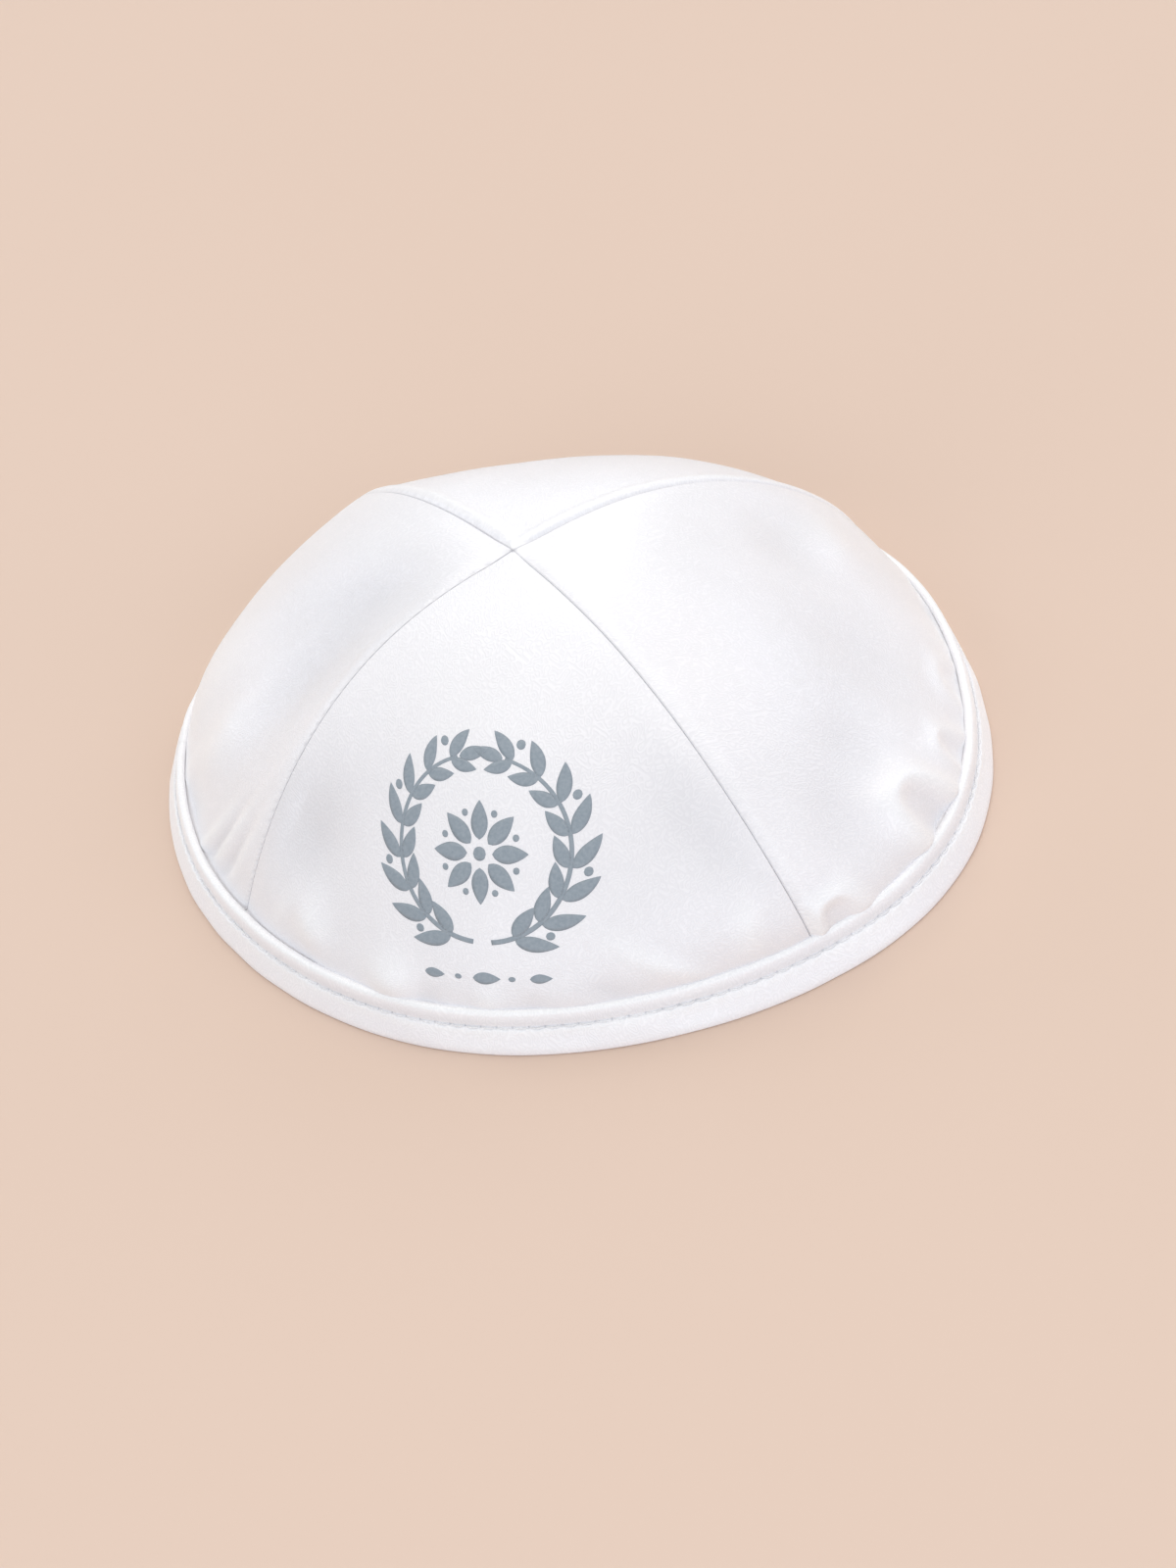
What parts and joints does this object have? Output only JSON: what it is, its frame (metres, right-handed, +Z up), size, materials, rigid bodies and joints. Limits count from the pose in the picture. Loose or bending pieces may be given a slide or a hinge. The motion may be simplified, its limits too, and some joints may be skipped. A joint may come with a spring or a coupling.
{
  "type": "kippah skullcap",
  "caption": "Shallow sewn satin skullcap of gores meeting at the apex, with a folded topstitched binding round an oval rim.",
  "frame": {"origin": "centre of the bounding box at the level of the rim's underside", "axes": "+Z up through the apex, -Y out of the printed front gore, +X to that gore's viewer's right"},
  "size_m": [0.1792, 0.1628, 0.0536],
  "materials": {
    "crown_satin": "white satin, soft sheen, fine twill grain",
    "binding_satin": "white satin band, soft sheen",
    "stitch_thread": "white sewing thread",
    "print_ink": "matt slate blue-grey transfer print"
  },
  "bodies": {
    "root": {"crown_panel_front": "crown_satin", "crown_panel_right": "crown_satin", "crown_panel_back": "crown_satin", "crown_panel_left": "crown_satin", "rim_binding": "binding_satin"}
  },
  "joints": []
}
